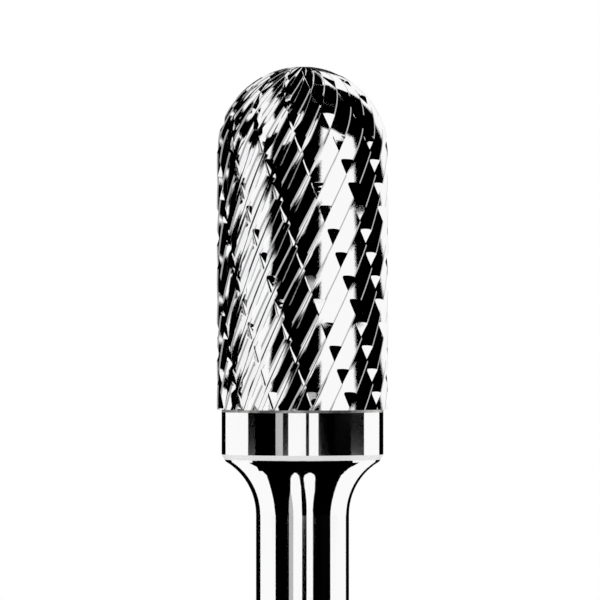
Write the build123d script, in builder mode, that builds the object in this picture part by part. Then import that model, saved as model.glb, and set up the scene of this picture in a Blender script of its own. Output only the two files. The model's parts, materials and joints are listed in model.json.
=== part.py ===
from build123d import *
import os
from math import ceil, cos, pi, radians, sin, tan

# Tungsten-carbide rotary burr, cylindrical with a ball nose, double cut. The
# fluted carbide head is brazed end to end onto a turned and ground steel shank.
# Millimetres. +Z runs along the axis from the flat end of the shank, at z = 0,
# to the nose of the head.

# Lengths along the axis
overall_length = 69.85
head_length = 25.4
braze_thickness = 0.2
collar_height = 3.5
flare_height = 4.1
neck_length = 7.0
neck_taper_length = 1.0

# Diameters
head_diameter = 12.7
collar_diameter = 12.0
neck_diameter = 6.9
shank_diameter = 6.35

# Broken edges of the steel
collar_chamfer = 0.35
shank_chamfer = 0.3

# Cutting flutes: saw-shaped teeth on a right-hand helix
flute_count = 26
flute_helix = 27.5
flute_depth = 0.5
rake_width = 0.2

# Chip breakers: shallower grooves that cross the teeth on a left-hand helix
breaker_count = 13
breaker_helix = 20.5
breaker_depth = 0.34
breaker_steep_width = 0.1
breaker_slope_width = 1.05

# The nose is cut up to these angles from its widest circle
flute_end_angle = 84
breaker_end_angle = 72

head_radius = head_diameter / 2
barrel_length = head_length - head_radius
nose_stretch = head_radius / sin(radians(flute_end_angle))
head_base = overall_length - head_length
collar_top = head_base - braze_thickness
collar_bottom = collar_top - collar_height
flare_bottom = collar_bottom - flare_height
neck_bottom = flare_bottom - neck_length
shank_top = neck_bottom - neck_taper_length


def lean(travel):
    """Angle up the nose at a length travelled up the outline of the head."""
    return max(0, travel - barrel_length) / head_radius


def height(travel):
    return head_base + min(travel, barrel_length) + nose_stretch * sin(lean(travel))


def turn(travel, helix):
    return tan(radians(helix)) * travel / head_radius


def stations(start, end_angle, step):
    """Lengths travelled from start to an angle up the nose, in equal steps on the
    barrel and equal steps on the nose, none longer than step."""
    nose_length = head_radius * radians(end_angle)
    on_barrel = ceil(barrel_length / step)
    on_nose = ceil(nose_length / step)
    barrel = [barrel_length * i / on_barrel for i in range(1, on_barrel)]
    nose = [barrel_length + nose_length * i / on_nose for i in range(on_nose + 1)]
    return [start, *barrel, *nose]


# Between two sections the teeth turn by less than half a pitch
tooth_angle = 2 * pi / flute_count
tooth_step = 0.45 * tooth_angle * head_radius / tan(radians(flute_helix))
rake_angle = rake_width / head_radius

# The breaker's walls are carried past the edges of the teeth
breaker_step = head_radius / 2
carry = 0.6

with BuildPart() as breaker:
    for travel in stations(-breaker_slope_width, breaker_end_angle, breaker_step):
        around, up = turn(travel, -breaker_helix), lean(travel)
        radius, share = head_radius * cos(up), cos(up)
        across_outline = Plane(
            origin=(radius * cos(around), radius * sin(around), height(travel)),
            x_dir=(-sin(around), cos(around), 0),
            z_dir=(sin(up) * cos(around), sin(up) * sin(around), -cos(up)),
        )
        with BuildSketch(across_outline):
            with BuildLine():
                Polyline(
                    (-breaker_steep_width * (1 + carry) * share, breaker_depth * carry),
                    (0, -breaker_depth * share),
                    (breaker_slope_width * (1 + carry) * share, breaker_depth * carry),
                    close=True,
                )
            make_face()
    loft(ruled=True)

with BuildPart() as cutting_head:
    for travel in stations(0, flute_end_angle, tooth_step):
        around, share = turn(travel, flute_helix), cos(lean(travel))
        root_radius = (head_radius - flute_depth) * share
        with BuildSketch(Plane.XY.offset(height(travel))):
            with BuildLine():
                corners = []
                for tooth in range(flute_count):
                    root = around + tooth * tooth_angle
                    edge = root + tooth_angle - rake_angle
                    corners.append((root_radius * cos(root), root_radius * sin(root)))
                    corners.append((head_radius * share * cos(edge), head_radius * share * sin(edge)))
                Polyline(*corners, close=True)
            make_face()
    loft(ruled=True)
    with PolarLocations(0, breaker_count):
        add(breaker.part, mode=Mode.SUBTRACT)

# Layer of silver braze that fills the joint out to the edge of the collar
with BuildPart() as braze_layer:
    with BuildSketch(Plane.XY.offset(collar_top)):
        Circle(collar_diameter / 2)
    extrude(amount=braze_thickness)

# Collar, concave flare, neck and ground shank, turned from one bar
with BuildPart() as shank:
    with BuildSketch(Plane.XZ):
        with BuildLine():
            Polyline(
                (0, collar_top),
                (0, 0),
                (shank_diameter / 2, 0),
                (shank_diameter / 2, shank_top),
                (neck_diameter / 2, neck_bottom),
                (neck_diameter / 2, flare_bottom),
            )
            flare = TangentArc(
                (neck_diameter / 2, flare_bottom),
                (collar_diameter / 2, collar_bottom),
                tangent=(0, 1),
            )
            Polyline(flare @ 1, (collar_diameter / 2, collar_top), (0, collar_top))
        make_face()
    revolve(axis=Axis.Z)
    rims = shank.edges().filter_by(GeomType.CIRCLE).sort_by(Axis.Z)
    chamfer(rims[0], length=shank_chamfer)
    chamfer(rims.filter_by(lambda rim: abs(rim.center().Z - collar_bottom) < 1e-6), length=collar_chamfer)

cutting_head.part.label = "cutting_head"
braze_layer.part.label = "braze_layer"
shank.part.label = "shank"

os.makedirs("parts", exist_ok=True)
export_step(cutting_head.part, "parts/cutting_head.step")
export_step(braze_layer.part, "parts/braze_layer.step")
export_step(shank.part, "parts/shank.step")
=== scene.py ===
import bpy
import bmesh
import json
from math import cos, pi, radians, sin, tan
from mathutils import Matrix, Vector

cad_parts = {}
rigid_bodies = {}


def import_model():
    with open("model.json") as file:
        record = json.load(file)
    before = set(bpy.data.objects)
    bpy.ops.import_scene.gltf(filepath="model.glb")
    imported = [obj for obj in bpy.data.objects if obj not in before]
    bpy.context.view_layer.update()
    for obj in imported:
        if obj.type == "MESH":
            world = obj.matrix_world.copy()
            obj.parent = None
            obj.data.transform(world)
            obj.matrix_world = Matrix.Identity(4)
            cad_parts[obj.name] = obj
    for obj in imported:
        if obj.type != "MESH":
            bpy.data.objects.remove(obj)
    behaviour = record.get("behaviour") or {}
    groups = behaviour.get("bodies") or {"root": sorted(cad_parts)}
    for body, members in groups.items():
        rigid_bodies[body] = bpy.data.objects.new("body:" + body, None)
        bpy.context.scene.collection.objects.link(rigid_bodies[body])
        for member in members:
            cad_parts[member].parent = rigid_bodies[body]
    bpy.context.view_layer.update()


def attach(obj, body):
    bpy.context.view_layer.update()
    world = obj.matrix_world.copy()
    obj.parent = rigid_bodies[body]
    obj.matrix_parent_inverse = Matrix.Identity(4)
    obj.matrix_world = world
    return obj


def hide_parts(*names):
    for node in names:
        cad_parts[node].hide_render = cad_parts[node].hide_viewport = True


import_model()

MM = 0.001

# Cutting head, as in the part's source: millimetres and degrees
HEAD_R = 6.35
HEAD_BASE = 44.45
HEAD_TOP = 69.85
BARREL = 19.05
FLUTE_END, BREAKER_END = 84, 72
NOSE_STRETCH = HEAD_R / sin(radians(FLUTE_END))
FLUTES, FLUTE_HELIX, FLUTE_DEPTH = 26, 27.5, 0.50
PITCH = 2 * pi * HEAD_R / FLUTES
RAKE = 0.2
BREAKERS, BREAKER_HELIX, BREAKER_DEPTH = 13, 20.5, 0.34
STEEP, SLOPE = 0.10, 1.05
# The breakers' walls are carried past the edges of the teeth by this share
CARRY = 0.6

# Ground margin behind each cutting edge, which only this model of the head has,
# and how far its satin look reaches past it on each side
MARGIN = 0.07
MARGIN_SPILL = 0.035
# Where the relief face starts in each tooth, and its number of facets
RELIEF_START, RELIEF_FACETS = 0.16, 5

# Steps up the barrel and up the nose
TOOTH_STEPS = (90, 48)
BREAKER_STEPS = (60, 26)
# The breakers start below the head, to run out of it cleanly
BREAKER_START = -1.0
# Metres and degrees: points closer than this are one, and sharper edges stay hard
WELD = 0.000002
HARD_EDGE = 14
# The wheel's marks on the two flat ends are wider than on the flutes
CAP_MARKS = 0.3

# The collar's lower edge is chamfered, and most of the chamfer is left satin from
# the turning: the middle and half of that height
SATIN_MIDDLE, SATIN_HALF = 40.93, 0.19

CARBIDE_TONE = (0.94, 0.94, 0.945, 1)
MARGIN_TONE = (0.50, 0.50, 0.51, 1)
STEEL_TONE = (0.95, 0.95, 0.955, 1)
BRAZE_TONE = (0.62, 0.59, 0.52, 1)
BRAZE_DARK = (0.24, 0.24, 0.235, 1)
BRAZE_LIGHT = (0.78, 0.775, 0.755, 1)

# Roughness: the least and the most of what is blotchy, and polished or satin
CARBIDE_ROUGH = (0.02, 0.05)
BRAZE_ROUGH = (0.3, 0.5)
MARGIN_ROUGH = 0.7
STEEL_POLISHED, STEEL_SATIN = 0.045, 0.6
# The satin chamfer is this much of a metal
SATIN_METALLIC = 0.25


# ---------------------------------------------------------------- materials

def node_material(name, tone, roughness, metallic=0.0):
    mat = bpy.data.materials.new(name)
    mat.use_nodes = True
    nt = mat.node_tree
    bsdf = nt.nodes["Principled BSDF"]
    bsdf.inputs["Base Color"].default_value = tone
    bsdf.inputs["Roughness"].default_value = roughness
    bsdf.inputs["Metallic"].default_value = metallic
    return mat, nt, bsdf


def add(nt, kind, **values):
    """Node with the values on its inputs, where _ stands for a space, or else in
    its settings."""
    node = nt.nodes.new(kind)
    for key, value in values.items():
        socket = key.replace("_", " ")
        if socket in node.inputs:
            node.inputs[socket].default_value = value
        else:
            setattr(node, key, value)
    return node


def add_compare(nt, middle, half):
    """Node that gives 1 within half of the middle, and else 0."""
    node = add(nt, "ShaderNodeMath", operation="COMPARE")
    node.inputs[1].default_value = middle
    node.inputs[2].default_value = half
    return node


def add_tones(nt, first, second):
    """Mix of two colours. Its factor is input 0 and its result is output 2."""
    node = add(nt, "ShaderNodeMix", data_type="RGBA")
    node.inputs[6].default_value = first
    node.inputs[7].default_value = second
    return node


def carbide_material():
    """Ground carbide: bright, with fine marks of the wheel along each flute and a
    satin margin behind each cutting edge."""
    mat, nt, bsdf = node_material("ground_carbide", CARBIDE_TONE, 0.035, metallic=1.0)
    link = nt.links.new
    uv = add(nt, "ShaderNodeUVMap", uv_map="flutes")
    stretch = add(nt, "ShaderNodeMapping", Scale=(60.0, 2.2, 1.0))
    marks = add(nt, "ShaderNodeTexNoise", Scale=1.0, Detail=3.0, Roughness=0.6)
    bump = add(nt, "ShaderNodeBump", Strength=0.06, Distance=0.00002)
    gloss = add(nt, "ShaderNodeMapRange", To_Min=CARBIDE_ROUGH[0], To_Max=CARBIDE_ROUGH[1])
    link(uv.outputs["UV"], stretch.inputs["Vector"])
    link(stretch.outputs["Vector"], marks.inputs["Vector"])
    link(marks.outputs["Fac"], bump.inputs["Height"])
    link(bump.outputs["Normal"], bsdf.inputs["Normal"])
    link(marks.outputs["Fac"], gloss.inputs["Value"])

    split = add(nt, "ShaderNodeSeparateXYZ")
    across = add(nt, "ShaderNodeMath", operation="MODULO")
    across.inputs[1].default_value = PITCH
    margin = add_compare(nt, PITCH - RAKE - MARGIN / 2, MARGIN / 2 + MARGIN_SPILL)
    rough = add(nt, "ShaderNodeMix", data_type="FLOAT", B=MARGIN_ROUGH)
    metal = add(nt, "ShaderNodeMix", data_type="FLOAT", A=1.0, B=0.0)
    tone = add_tones(nt, CARBIDE_TONE, MARGIN_TONE)
    link(uv.outputs["UV"], split.inputs["Vector"])
    link(split.outputs["X"], across.inputs[0])
    link(across.outputs["Value"], margin.inputs[0])
    link(gloss.outputs["Result"], rough.inputs["A"])
    for mix in (rough, metal, tone):
        link(margin.outputs["Value"], mix.inputs[0])
    link(rough.outputs[0], bsdf.inputs["Roughness"])
    link(metal.outputs[0], bsdf.inputs["Metallic"])
    link(tone.outputs[2], bsdf.inputs["Base Color"])
    return mat


def steel_material():
    """Turned and ground steel: polished, with fine lines around the axis."""
    mat, nt, bsdf = node_material("ground_steel", STEEL_TONE, STEEL_POLISHED, metallic=1.0)
    link = nt.links.new
    where = add(nt, "ShaderNodeTexCoord")
    stretch = add(nt, "ShaderNodeMapping", Scale=(40.0, 40.0, 9000.0))
    lines = add(nt, "ShaderNodeTexNoise", Scale=1.0, Detail=2.0, Roughness=0.5)
    bump = add(nt, "ShaderNodeBump", Strength=0.01, Distance=0.00001)
    link(where.outputs["Object"], stretch.inputs["Vector"])
    link(stretch.outputs["Vector"], lines.inputs["Vector"])
    link(lines.outputs["Fac"], bump.inputs["Height"])
    link(bump.outputs["Normal"], bsdf.inputs["Normal"])

    split = add(nt, "ShaderNodeSeparateXYZ")
    satin = add_compare(nt, SATIN_MIDDLE * MM, SATIN_HALF * MM)
    gloss = add(nt, "ShaderNodeMapRange", To_Min=STEEL_POLISHED, To_Max=STEEL_SATIN)
    metal = add(nt, "ShaderNodeMapRange", To_Min=1.0, To_Max=SATIN_METALLIC)
    link(where.outputs["Object"], split.inputs["Vector"])
    link(split.outputs["Z"], satin.inputs[0])
    for shade, socket in ((gloss, "Roughness"), (metal, "Metallic")):
        link(satin.outputs["Value"], shade.inputs["Value"])
        link(shade.outputs["Result"], bsdf.inputs[socket])
    return mat


def braze_material():
    """Silver braze, wiped back to a dull and blotchy satin."""
    mat, nt, bsdf = node_material("silver_braze", BRAZE_TONE, 0.5, metallic=1.0)
    link = nt.links.new
    where = add(nt, "ShaderNodeTexCoord")
    blotch = add(nt, "ShaderNodeTexNoise", Scale=420.0, Detail=4.0, Roughness=0.7)
    contrast = add(nt, "ShaderNodeMapRange", From_Min=0.40, From_Max=0.60)
    rough = add(nt, "ShaderNodeMapRange", To_Min=BRAZE_ROUGH[0], To_Max=BRAZE_ROUGH[1])
    tone = add_tones(nt, BRAZE_DARK, BRAZE_LIGHT)
    link(where.outputs["Object"], blotch.inputs["Vector"])
    link(blotch.outputs["Fac"], contrast.inputs["Value"])
    link(contrast.outputs["Result"], tone.inputs[0])
    link(tone.outputs[2], bsdf.inputs["Base Color"])
    link(blotch.outputs["Fac"], rough.inputs["Value"])
    link(rough.outputs["Result"], bsdf.inputs["Roughness"])
    return mat


# ---------------------------------------------------------------- cutting head

def lean(travel):
    """Angle up the nose at a length travelled up the outline of the head."""
    return max(0.0, travel - BARREL) / HEAD_R


def height(travel):
    return HEAD_BASE + min(travel, BARREL) + NOSE_STRETCH * sin(lean(travel))


def spread_out(start, end_angle, on_barrel, on_nose):
    """Lengths travelled up the outline, from start to an angle up the nose."""
    nose = HEAD_R * radians(end_angle)
    steps = [start + (BARREL - start) * i / on_barrel for i in range(on_barrel)]
    return steps + [BARREL + nose * i / on_nose for i in range(on_nose + 1)]


def closed_tube(name, rings, across, along):
    """Mesh through equal rings of points, capped at both ends. For the wheel's
    marks, across gives each point's U and along gives each ring's V."""
    count = len(rings[0])
    verts = [Vector(p) * MM for ring in rings for p in ring]
    faces, uvs = [], []
    for i in range(len(rings) - 1):
        low, high = i * count, (i + 1) * count
        for j in range(count):
            k = (j + 1) % count
            faces.append((low + j, low + k, high + k, high + j))
            u0, u1 = across[j], across[j + 1]
            v0, v1 = along[i], along[i + 1]
            uvs += [(u0, v0), (u1, v0), (u1, v1), (u0, v1)]
    faces.append(tuple(reversed(range(count))))
    faces.append(tuple(range((len(rings) - 1) * count, len(rings) * count)))
    for cap in (reversed(rings[0]), rings[-1]):
        uvs += [(p[0] * CAP_MARKS, p[1] * CAP_MARKS) for p in cap]
    mesh = bpy.data.meshes.new(name)
    mesh.from_pydata(verts, [], faces)
    layer = mesh.uv_layers.new(name="flutes")
    for loop, uv in zip(layer.data, uvs):
        loop.uv = uv
    return mesh


def toothed_blank():
    """Barrel and nose with the saw-shaped teeth, before the breakers are cut."""
    margin_start = PITCH - RAKE - MARGIN
    reach = margin_start - RELIEF_START
    relief = [RELIEF_START + reach * i / RELIEF_FACETS for i in range(RELIEF_FACETS + 1)]
    gullet = (0.03, 0.95 * FLUTE_DEPTH)
    cutting_edge = (PITCH - RAKE, 0.0)
    rake_foot = (PITCH - 0.15 * RAKE, 0.85 * FLUTE_DEPTH)
    tooth = [
        gullet,
        *[(arc, FLUTE_DEPTH * (1 - arc / margin_start)) for arc in relief],
        cutting_edge,
        rake_foot,
    ]
    rings, steps = [], spread_out(0.0, FLUTE_END, *TOOTH_STEPS)
    for travel in steps:
        around, share = tan(radians(FLUTE_HELIX)) * travel / HEAD_R, cos(lean(travel))
        ring = []
        for n in range(FLUTES):
            for arc, depth in tooth:
                angle = around + (n * PITCH + arc) / HEAD_R
                radius = (HEAD_R - depth) * share
                ring.append((radius * cos(angle), radius * sin(angle), height(travel)))
        rings.append(ring)
    across = [n * PITCH + arc for n in range(FLUTES) for arc, _ in tooth]
    return closed_tube("cutting_head_teeth", rings, across + [2 * pi * HEAD_R], steps)


def breaker_tool(start_turn):
    """What one breaker cuts away. The floor of its groove fades up the nose, and
    its walls stay carried past the teeth."""
    top = CARRY * BREAKER_DEPTH
    floor_left, floor_right = -0.93 * BREAKER_DEPTH, -0.975 * BREAKER_DEPTH
    # Place across the groove, rise from the head's outline, whether it fades
    profile = [
        (-STEEP * (1 + CARRY), top, False),
        (-0.02, floor_left, True),
        (0.07, floor_right, True),
        (SLOPE * (1 + CARRY), top, False),
    ]
    across = [-0.2, -0.1, 0.1, 1.2, 1.3]
    rings, steps = [], spread_out(BREAKER_START, BREAKER_END, *BREAKER_STEPS)
    for travel in steps:
        around, up = start_turn - tan(radians(BREAKER_HELIX)) * travel / HEAD_R, lean(travel)
        share = cos(up)
        radius = HEAD_R * share
        origin = Vector((radius * cos(around), radius * sin(around), height(travel)))
        along = Vector((-sin(around), cos(around), 0))
        out = Vector((cos(up) * cos(around), cos(up) * sin(around), sin(up)))
        rings.append([
            origin + along * arc * share + out * rise * (share if fades else 1.0)
            for arc, rise, fades in profile
        ])
    return closed_tube("breaker", rings, across, steps)


def new_object(name, mesh):
    obj = bpy.data.objects.new(name, mesh)
    bpy.context.scene.collection.objects.link(obj)
    return obj


def cutting_head():
    blank = new_object("cutting_head_teeth", toothed_blank())
    tools = bmesh.new()
    for n in range(BREAKERS):
        tools.from_mesh(breaker_tool(2 * pi * n / BREAKERS))
    bmesh.ops.recalc_face_normals(tools, faces=tools.faces)
    tool_mesh = bpy.data.meshes.new("breakers")
    tools.to_mesh(tool_mesh)
    tools.free()
    tool = new_object("breakers", tool_mesh)
    cut = blank.modifiers.new("breakers", "BOOLEAN")
    cut.operation = "DIFFERENCE"
    cut.solver = "EXACT"
    cut.object = tool
    evaluated = blank.evaluated_get(bpy.context.evaluated_depsgraph_get())
    shaped = bpy.data.meshes.new_from_object(evaluated)
    blank.modifiers.clear()
    blank.data = shaped
    bpy.data.objects.remove(tool)
    bm = bmesh.new()
    bm.from_mesh(shaped)
    bmesh.ops.remove_doubles(bm, verts=bm.verts, dist=WELD)
    bmesh.ops.triangulate(bm, faces=bm.faces)
    for face in bm.faces:
        face.smooth = True
    for edge in bm.edges:
        edge.smooth = edge.is_manifold and edge.calc_face_angle(0) < radians(HARD_EDGE)
    bm.to_mesh(shaped)
    bm.free()
    return blank


head = cutting_head()
head.data.materials.clear()
head.data.materials.append(carbide_material())
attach(head, "root")
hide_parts("cutting_head")

MATERIALS = {"shank": steel_material, "braze_layer": braze_material}
for obj in bpy.data.objects:
    make = MATERIALS.get(obj.name.split(".")[0])
    if make and obj.type == "MESH":
        obj.data.materials.clear()
        obj.data.materials.append(make())


# ---------------------------------------------------------------- stage
# Metres: the floor's side, and between which distances it fades to white
FLOOR_SIZE = 6
FADE_START, FADE_END = 0.10, 0.5


def floor_material():
    """Pale floor that fades to white with distance, for the camera alone."""
    mat, nt, bsdf = node_material("pale_floor", (0.9, 0.9, 0.9, 1), 0.9)
    link = nt.links.new
    glow = add(nt, "ShaderNodeEmission", Color=(1, 1, 1, 1), Strength=1.0)
    path = add(nt, "ShaderNodeLightPath")
    where = add(nt, "ShaderNodeTexCoord")
    reach = add(nt, "ShaderNodeVectorMath", operation="LENGTH")
    fade = add(nt, "ShaderNodeMapRange", From_Min=FADE_START, From_Max=FADE_END)
    seen = add(nt, "ShaderNodeMath", operation="MULTIPLY")
    mix = add(nt, "ShaderNodeMixShader")
    link(where.outputs["Object"], reach.inputs[0])
    link(reach.outputs["Value"], fade.inputs["Value"])
    link(fade.outputs["Result"], seen.inputs[0])
    link(path.outputs["Is Camera Ray"], seen.inputs[1])
    link(seen.outputs["Value"], mix.inputs["Fac"])
    link(bsdf.outputs["BSDF"], mix.inputs[1])
    link(glow.outputs["Emission"], mix.inputs[2])
    link(mix.outputs["Shader"], nt.nodes["Material Output"].inputs["Surface"])
    return mat


bpy.ops.mesh.primitive_plane_add(size=FLOOR_SIZE, location=(0, 0, 0))
floor = bpy.context.object
floor.name = "floor"
floor.data.materials.append(floor_material())
# The metal shows the white world instead
floor.visible_glossy = False

world = bpy.data.worlds.new("studio")
bpy.context.scene.world = world
world.use_nodes = True
light = world.node_tree.nodes["Background"]
light.inputs["Color"].default_value = (1, 1, 1, 1)
light.inputs["Strength"].default_value = 1.0


# Flags around the object, seen only in its reflections. Azimuth 0 is the
# camera's side, and it grows to the right.
def flag_material(name, grey):
    mat, nt, bsdf = node_material(name, (0, 0, 0, 1), 1.0)
    bsdf.inputs["Specular IOR Level"].default_value = 0.0
    bsdf.inputs["Emission Color"].default_value = (1, 1, 1, 1)
    bsdf.inputs["Emission Strength"].default_value = grey
    return mat


BLACK = flag_material("black_flag", 0.0)
GREY = flag_material("grey_flag", 0.5)
WHITE = flag_material("white_flag", 1.0)

# Metres: what the curved flags are centred on, how far off they stand, and how
# far off those stand that hide a part of them
FLAG_CENTRE = Vector((0, 0, 0.055))
FAR, NEARER = 0.8, 0.78
# Facets across each flag, and up between two of its rows
FLAG_ACROSS, FLAG_UP = 24, 10


def screen(name, verts, faces, mat):
    mesh = bpy.data.meshes.new(name)
    mesh.from_pydata(verts, [], faces)
    mesh.materials.append(mat)
    obj = new_object(name, mesh)
    obj.visible_camera = False
    obj.visible_diffuse = False
    obj.visible_shadow = False
    obj.visible_transmission = False


def curved_screen(name, rows, direction, mat, distance):
    """Screen far from the object through the directions of its rows, each row a
    level and the two angles between which it reaches there."""
    levels = []
    for below, above in zip(rows, rows[1:]):
        for j in range(FLAG_UP):
            levels.append([p + (q - p) * j / FLAG_UP for p, q in zip(below, above)])
    levels.append(rows[-1])
    verts = [
        direction(level, first + (last - first) * i / FLAG_ACROSS) * distance + FLAG_CENTRE
        for level, first, last in levels
        for i in range(FLAG_ACROSS + 1)
    ]
    row = FLAG_ACROSS + 1
    corners = [j * row + i for j in range(len(levels) - 1) for i in range(FLAG_ACROSS)]
    screen(name, verts, [(a, a + 1, a + row + 1, a + row) for a in corners], mat)


def flag(name, *rows, mat=BLACK, distance=FAR):
    """Curved screen whose rows, going up, each give an elevation and the two
    azimuths between which it reaches there."""
    def direction(elevation, azimuth):
        el, az = radians(elevation), radians(azimuth)
        return Vector((cos(el) * sin(az), -cos(el) * cos(az), sin(el)))
    curved_screen(name, rows, direction, mat, distance)


def flag_below(name, *rows, mat=BLACK, distance=FAR):
    """The same below the horizon, shaped by what shows it: each row gives a dip of
    the steel's surface and the two azimuths of that surface between which a
    viewer in front sees the screen in it."""
    def direction(dip, around):
        dip, around = radians(dip), radians(around)
        out = Vector((sin(around) * cos(dip), -cos(around) * cos(dip), -sin(dip)))
        return Vector((0, 1, 0)) + out * (2 * cos(around) * cos(dip))
    curved_screen(name, rows, direction, mat, distance)


def collar_flag(name, first, last, **look):
    """Flag just below the horizon, which the collar shows and the neck doesn't."""
    flag(name, (-2.45, first, last), (0, first, last), **look)


# What the head shows
flag("flag_left", (0, -84, -16), (10, -91, -20), (75, -91, -20))
flag("flag_right", (0, 28, 100), (10, 35, 100), (25, 35, 104), (75, 38, 130))
flag("flag_back", (0, 143, 210), (11, 143, 210), (14, 166, 210), (40, 166, 215))
flag("flag_back_left", (40, 180, 265), (75, 170, 275))
flag("flag_front_top", (38, 26, 60), (46, 2, 60), (54, -60, 60), (75, -91, 110))
flag("flag_top", (75, -180, 180), (89.9, -180, 180))

# What the collar shows
collar_flag("flag_collar_left", -84, -20)
collar_flag("flag_collar_streak", -38.5, -28, mat=GREY, distance=NEARER)
collar_flag("flag_collar_line", 4.8, 9.2)
collar_flag("flag_collar_right", 22.5, 98.5)
collar_flag("flag_collar_back", 142, 217)

# What the neck and the flare show
flag_below(
    "flag_left_low",
    (1.3, -35.3, -11.4), (25, -36.4, -13.2), (38, -35, -11.8), (42, -34.5, -10), (45, -36, -6.5),
)
flag_below(
    "flag_streak_low",
    (1.3, -16.8, -11.4), (14, -15.8, -12.2), (24, -13.6, -13.2),
    mat=GREY, distance=NEARER,
)
flag_below(
    "flag_line_low",
    (1.3, -0.5, 5.1), (15, -0.8, 4.2), (30, -1.6, 2), (38, -2.4, 1), (42, -3.2, 2), (45, -5.5, 5.5),
)
flag_below(
    "flag_right_low",
    (1.3, 12.9, 36.6), (25, 13.9, 38.1), (38, 12.8, 38.2), (42, 11, 38.3), (45, 7, 40),
)
flag_below("flag_top_low", (44.8, -36, 39), (52, -39, 42), (62, -48, 52), (66, -56, 60))
flag("flag_neck_back", (-4.3, 137, 231), (-2.45, 137, 231))
flag_below("flag_rim_left", (5.5, -89.5, -65), (62, -89.5, -66))
flag_below("flag_rim_right", (5.5, 69, 89.5), (62, 70, 89.5))

# Millimetres and degrees: the height of the leaves, just below the joint, of the
# one beneath them, and the step from corner to corner of a leaf's rim
LEAF_Z, UNDER_LEAF_Z = 44.35, 44.30
LEAF_STEP = 3


def leaf(name, radii, azimuths, mat, heights=(LEAF_Z, LEAF_Z)):
    """Sector of a ring between two azimuths and two radii, each with its height."""
    first, last = azimuths
    count = round((last - first) / LEAF_STEP)
    turns = [radians(first + LEAF_STEP * i) for i in range(count + 1)]
    rims = [(r * MM, z * MM) for r, z in zip(radii, heights)]
    verts = [(r * sin(a), -r * cos(a), z) for r, z in rims for a in turns]
    quads = [(i, i + 1, count + i + 2, count + i + 1) for i in range(count)]
    screen(name, verts, quads, mat)


# Level with the joint, so that only the head's teeth show them
leaf("leaf_front", (7.2, 40), (-6, 45), BLACK)
leaf("leaf_left", (40, 500), (201, 327), BLACK)
leaf("leaf_left_front", (56, 500), (327, 348), BLACK)
leaf("leaf_right_front", (40, 500), (348, 405), BLACK)
leaf("leaf_white", (8, 500), (45, 120), WHITE)
# The collar shows this one instead of the white one's lower side
leaf("leaf_under_white", (8, 500), (45, 120), BLACK, heights=(UNDER_LEAF_Z, UNDER_LEAF_Z))

# A card that stands close by the head's left
CARD_X, CARD_Y, CARD_Z = (-9.0, -5.4), -6.75, (40.4, 63.0)
card = [(x * MM, CARD_Y * MM, z * MM) for z in CARD_Z for x in CARD_X]
screen("flag_card", card, [(0, 1, 3, 2)], BLACK)

# Close under the top of the flare, which would else show the neck's reflections
leaf("leaf_flare", (4.86, 5.9), (-42, 42), BLACK, heights=(39.90, 40.5))


# ---------------------------------------------------------------- camera
# In pixels of the photograph, which is 600 wide and high: pixels per metre, how
# far the object's axis stands right of the middle, and the row of its top
SCALE = 13.48 / MM
FRAME = 600
AXIS_OFFSET = 2.5
TOP_ROW = 67
# Metres to the object's axis, and the sensor's millimetres
DISTANCE = 0.6
SENSOR = 36

camera = new_object("camera", bpy.data.cameras.new("camera"))
middle_height = HEAD_TOP * MM - (FRAME / 2 - TOP_ROW) / SCALE
camera.location = (-AXIS_OFFSET / SCALE, -DISTANCE, middle_height)
camera.rotation_euler = (radians(90), 0, 0)
camera.data.sensor_width = SENSOR
camera.data.lens = SENSOR * DISTANCE / (FRAME / SCALE)
camera.data.clip_start = 0.05
camera.data.clip_end = 20
bpy.context.scene.camera = camera
bpy.context.scene.view_settings.view_transform = "Standard"
